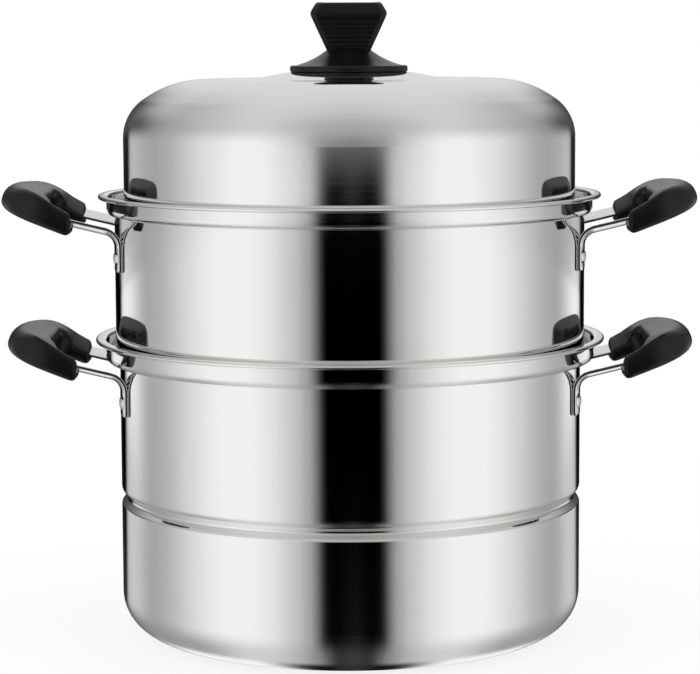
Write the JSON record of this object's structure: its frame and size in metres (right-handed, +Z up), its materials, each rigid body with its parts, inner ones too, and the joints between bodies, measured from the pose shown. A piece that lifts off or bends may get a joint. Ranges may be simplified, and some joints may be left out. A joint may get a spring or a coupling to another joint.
{
  "type": "steamer pot",
  "caption": "Polished steel steamer: pot with a plate groove, perforated steamer tier, high lid with knob, and riveted side handles with black grips.",
  "frame": {"origin": "centre of the pot's flat base, on the surface it stands on", "axes": "+Z up, X through the side handles, -Y towards the viewer in the picture"},
  "size_m": [0.4226, 0.3088, 0.3821],
  "materials": {
    "polished_steel": "mirror polished stainless sheet",
    "satin_steel": "satin stainless sheet",
    "strap_steel": "polished stainless strap",
    "rivet_steel": "polished rivet heads",
    "plated_steel": "nickel plated fasteners",
    "brass": "turned brass",
    "black_bakelite": "moulded black phenolic, satin"
  },
  "bodies": {
    "pot": {"pot_body": "polished_steel", "pot_strap_right": "strap_steel", "pot_grip_right": "black_bakelite", "pot_grip_screw_right": "plated_steel", "pot_rivets_right": "rivet_steel", "pot_strap_left": "strap_steel", "pot_grip_left": "black_bakelite", "pot_grip_screw_left": "plated_steel", "pot_rivets_left": "rivet_steel"},
    "steam_plate": {"steam_plate": "satin_steel"},
    "tier": {"tier_body": "polished_steel", "tier_strap_right": "strap_steel", "tier_grip_right": "black_bakelite", "tier_grip_screw_right": "plated_steel", "tier_rivets_right": "rivet_steel", "tier_strap_left": "strap_steel", "tier_grip_left": "black_bakelite", "tier_grip_screw_left": "plated_steel", "tier_rivets_left": "rivet_steel"},
    "lid": {"lid_shell": "polished_steel", "lid_knob": "black_bakelite", "knob_insert": "brass", "knob_washer": "plated_steel", "knob_screw": "plated_steel"}
  },
  "joints": [
    {"name": "tier_lift", "type": "slide", "parent": "pot", "child": "tier", "axis": [0, 0, 1], "range_m": [0, 0.2]},
    {"name": "lid_lift", "type": "slide", "parent": "tier", "child": "lid", "axis": [0, 0, 1], "range_m": [0, 0.15]},
    {"name": "plate_lift", "type": "slide", "parent": "pot", "child": "steam_plate", "axis": [0, 0, 1], "range_m": [0, 0.1]}
  ],
  "couplings": [
    {"joint": "plate_lift", "follows": "tier_lift", "ratio": 0.5}
  ]
}
